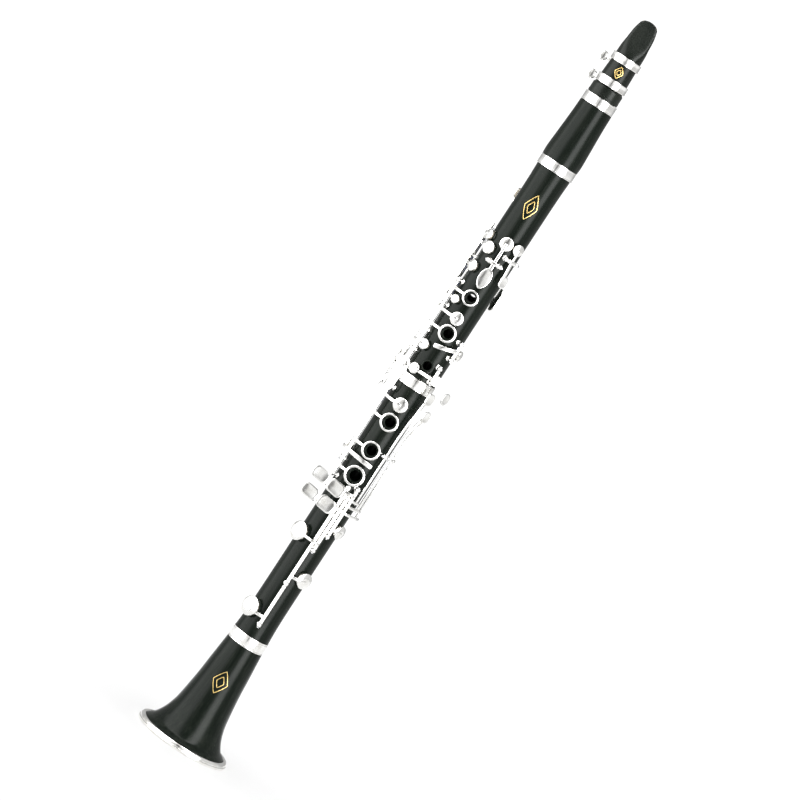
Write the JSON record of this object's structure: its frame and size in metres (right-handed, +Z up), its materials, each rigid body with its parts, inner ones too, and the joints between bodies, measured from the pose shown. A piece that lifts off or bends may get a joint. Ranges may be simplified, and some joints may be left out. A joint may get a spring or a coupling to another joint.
{
  "type": "clarinet",
  "caption": "Soprano clarinet in black wood with silver-plated ring keys, side keys, levers, tenon rings, ligature, reed mouthpiece and flared bell, standing on its bell.",
  "frame": {"origin": "centre of the bell rim's flat underside, on the surface the clarinet stands on", "axes": "+Z up along the bore to the mouthpiece tip; -Y is the front with the finger holes; +Y is the thumb side; -X is the player's right"},
  "size_m": [0.08, 0.08, 0.667],
  "materials": {
    "wood": "oiled and polished black hardwood, satin gloss",
    "ebonite": "polished hard rubber, slightly dull",
    "key_plate": "bright silver plate on forged nickel silver",
    "ring_plate": "bright silver plate",
    "steel": "ground hardened steel",
    "cork": "sanded natural cork",
    "cane": "shaved cane, unvarnished",
    "pads": "pale skin pad on felt"
  },
  "bodies": {
    "body": {"upper_joint": "wood", "lower_joint": "wood", "centre_ring": "ring_plate", "bell": "wood", "bell_socket_ring": "ring_plate", "bell_rim_ring": "ring_plate", "upper_tenon_cork": "cork", "middle_tenon_cork": "cork", "lower_tenon_cork": "cork", "thumb_bush": "ebonite", "register_tube": "ring_plate", "thumb_rest": "key_plate", "thumb_rest_screw_lower": "steel", "thumb_rest_screw_upper": "steel", "upper_stack_rod": "steel", "lower_stack_rod": "steel", "low_f_rod": "steel", "aflat_rod": "steel"},
    "head": {"barrel": "wood", "barrel_ring_top": "ring_plate", "barrel_ring_bottom": "ring_plate", "mouthpiece": "ebonite", "mouthpiece_cork": "cork", "reed": "cane", "ligature_band": "key_plate"},
    "lower_ligature_screw": {"ligature_screw_lower": "key_plate"},
    "upper_ligature_screw": {"ligature_screw_upper": "key_plate"},
    "index_ring": {"index_ring_key": "key_plate"},
    "middle_ring": {"middle_ring_key": "key_plate", "middle_ring_pad": "pads"},
    "thumb_ring": {"thumb_ring_key": "key_plate"},
    "throat_a": {"throat_a_key": "key_plate", "throat_a_pad": "pads"},
    "throat_gsharp": {"throat_gsharp_key": "key_plate", "throat_gsharp_pad": "pads"},
    "register": {"register_key": "key_plate", "register_pad": "pads"},
    "upper_trill": {"upper_trill_key": "key_plate", "upper_trill_pad": "pads"},
    "lower_trill": {"lower_trill_key": "key_plate", "lower_trill_pad": "pads"},
    "side_fsharp": {"side_fsharp_key": "key_plate", "side_fsharp_pad": "pads"},
    "side_eflat": {"side_eflat_key": "key_plate"},
    "left_sliver": {"left_sliver_key": "key_plate"},
    "csharp": {"csharp_key": "key_plate"},
    "right_ring": {"right_ring_key": "key_plate", "right_ring_pad": "pads"},
    "right_sliver": {"right_sliver_key": "key_plate"},
    "low_e": {"low_e_key": "key_plate", "low_e_pad": "pads"},
    "fsharp": {"fsharp_key": "key_plate", "fsharp_pad": "pads"},
    "low_f": {"low_f_key": "key_plate", "low_f_pad": "pads"},
    "aflat": {"aflat_key": "key_plate", "aflat_pad": "pads"},
    "left_e": {"left_e_lever": "key_plate"},
    "left_f": {"left_f_lever": "key_plate"},
    "left_fsharp": {"left_fsharp_lever": "key_plate"}
  },
  "joints": [
    {"name": "tuning_slide", "type": "slide", "parent": "body", "child": "head", "axis": [0, 0, 1], "range_m": [0, 0.004]},
    {"name": "lower_ligature_screw_turn", "type": "hinge", "parent": "head", "child": "lower_ligature_screw", "pos_m": [0, 0.0163, 0.6098], "axis": [1, 0, 0], "range_deg": [0, 450]},
    {"name": "upper_ligature_screw_turn", "type": "hinge", "parent": "head", "child": "upper_ligature_screw", "pos_m": [0, 0.0163, 0.6264], "axis": [1, 0, 0], "range_deg": [0, 450]},
    {"name": "index_ring_press", "type": "hinge", "parent": "body", "child": "index_ring", "pos_m": [-0.0162, -0.00935, 0.4115], "axis": [0, 0, 1], "range_deg": [0, 4.5], "stiffness_Nm_per_rad": 0.02, "springref_deg": -14.32},
    {"name": "middle_ring_press", "type": "hinge", "parent": "body", "child": "middle_ring", "pos_m": [-0.0162, -0.00935, 0.3729], "axis": [0, 0, 1], "range_deg": [0, 4.5], "stiffness_Nm_per_rad": 0.02, "springref_deg": -14.32},
    {"name": "thumb_ring_press", "type": "hinge", "parent": "body", "child": "thumb_ring", "pos_m": [-0.01322, 0.01322, 0.4185], "axis": [0, 0, -1], "range_deg": [0, 4], "stiffness_Nm_per_rad": 0.02, "springref_deg": -14.32},
    {"name": "throat_a_press", "type": "hinge", "parent": "body", "child": "throat_a", "pos_m": [0, -0.0187, 0.4474], "axis": [1, 0, 0], "range_deg": [0, 6], "stiffness_Nm_per_rad": 0.02, "springref_deg": -14.32},
    {"name": "throat_gsharp_press", "type": "hinge", "parent": "body", "child": "throat_gsharp", "pos_m": [0.01099, -0.01513, 0.4552], "axis": [0.809, 0.5878, 0], "range_deg": [0, 8], "stiffness_Nm_per_rad": 0.02, "springref_deg": -14.32},
    {"name": "register_press", "type": "hinge", "parent": "body", "child": "register", "pos_m": [-0.0013, 0.01865, 0.455], "axis": [-0.9976, -0.0698, 0], "range_deg": [0, 3], "stiffness_Nm_per_rad": 0.04, "springref_deg": -14.32},
    {"name": "upper_trill_press", "type": "hinge", "parent": "body", "child": "upper_trill", "pos_m": [-0.01708, 0.00761, 0.414], "axis": [0, 0, -1], "range_deg": [0, 7], "stiffness_Nm_per_rad": 0.02, "springref_deg": -14.32},
    {"name": "lower_trill_press", "type": "hinge", "parent": "body", "child": "lower_trill", "pos_m": [-0.01829, 0.00389, 0.4095], "axis": [0, 0, -1], "range_deg": [0, 7], "stiffness_Nm_per_rad": 0.02, "springref_deg": -14.32},
    {"name": "side_fsharp_press", "type": "hinge", "parent": "body", "child": "side_fsharp", "pos_m": [-0.0187, 0, 0.4005], "axis": [0, 0, -1], "range_deg": [0, 7], "stiffness_Nm_per_rad": 0.02, "springref_deg": -14.32},
    {"name": "side_eflat_press", "type": "hinge", "parent": "body", "child": "side_eflat", "pos_m": [-0.01829, -0.00389, 0.367], "axis": [0, 0, -1], "range_deg": [0, 7], "stiffness_Nm_per_rad": 0.02, "springref_deg": -14.32},
    {"name": "left_sliver_press", "type": "hinge", "parent": "body", "child": "left_sliver", "pos_m": [0.01345, -0.01299, 0.3738], "axis": [0, 0, -1], "range_deg": [0, 7], "stiffness_Nm_per_rad": 0.02, "springref_deg": -14.32},
    {"name": "csharp_press", "type": "hinge", "parent": "body", "child": "csharp", "pos_m": [0.00991, -0.01586, 0.35], "axis": [0, 0, 1], "range_deg": [0, 6], "stiffness_Nm_per_rad": 0.02, "springref_deg": -14.32},
    {"name": "right_ring_press", "type": "hinge", "parent": "body", "child": "right_ring", "pos_m": [-0.01586, -0.00991, 0.284], "axis": [0, 0, 1], "range_deg": [0, 4.5], "stiffness_Nm_per_rad": 0.03, "springref_deg": -14.32},
    {"name": "right_sliver_press", "type": "hinge", "parent": "body", "child": "right_sliver", "pos_m": [-0.01842, -0.00325, 0.265], "axis": [0, 0, 1], "range_deg": [0, 6], "stiffness_Nm_per_rad": 0.02, "springref_deg": -14.32},
    {"name": "low_e_press", "type": "hinge", "parent": "body", "child": "low_e", "pos_m": [0.00098, -0.01867, 0.18], "axis": [0, 0, -1], "range_deg": [0, 7.5], "stiffness_Nm_per_rad": 0.03, "springref_deg": -14.32},
    {"name": "fsharp_press", "type": "hinge", "parent": "body", "child": "fsharp", "pos_m": [0.00098, -0.01867, 0.1898], "axis": [0, 0, -1], "range_deg": [0, 8], "stiffness_Nm_per_rad": 0.03, "springref_deg": -14.32},
    {"name": "low_f_press", "type": "hinge", "parent": "body", "child": "low_f", "pos_m": [0.00452, -0.01815, 0.2098], "axis": [0, 0, -1], "range_deg": [0, 7], "stiffness_Nm_per_rad": 0.03, "springref_deg": -14.32},
    {"name": "aflat_press", "type": "hinge", "parent": "body", "child": "aflat", "pos_m": [0.0079, -0.01695, 0.2219], "axis": [0, 0, -1], "range_deg": [0, 6], "stiffness_Nm_per_rad": 0.02, "springref_deg": -14.32},
    {"name": "left_e_press", "type": "hinge", "parent": "body", "child": "left_e", "pos_m": [0.01202, -0.01432, 0.276], "axis": [-0.766, -0.6428, 0], "range_deg": [0, 2.4]},
    {"name": "left_f_press", "type": "hinge", "parent": "body", "child": "left_f", "pos_m": [0.01586, -0.00991, 0.276], "axis": [-0.5299, -0.848, 0], "range_deg": [0, 2.2]},
    {"name": "left_fsharp_press", "type": "hinge", "parent": "body", "child": "left_fsharp", "pos_m": [0.01815, -0.00452, 0.276], "axis": [-0.2419, -0.9703, 0], "range_deg": [0, 2.8]}
  ],
  "couplings": [
    {"joint": "left_e_press", "follows": "low_e_press", "ratio": 0.288},
    {"joint": "left_f_press", "follows": "low_f_press", "ratio": 0.286},
    {"joint": "left_fsharp_press", "follows": "fsharp_press", "ratio": 0.33}
  ]
}
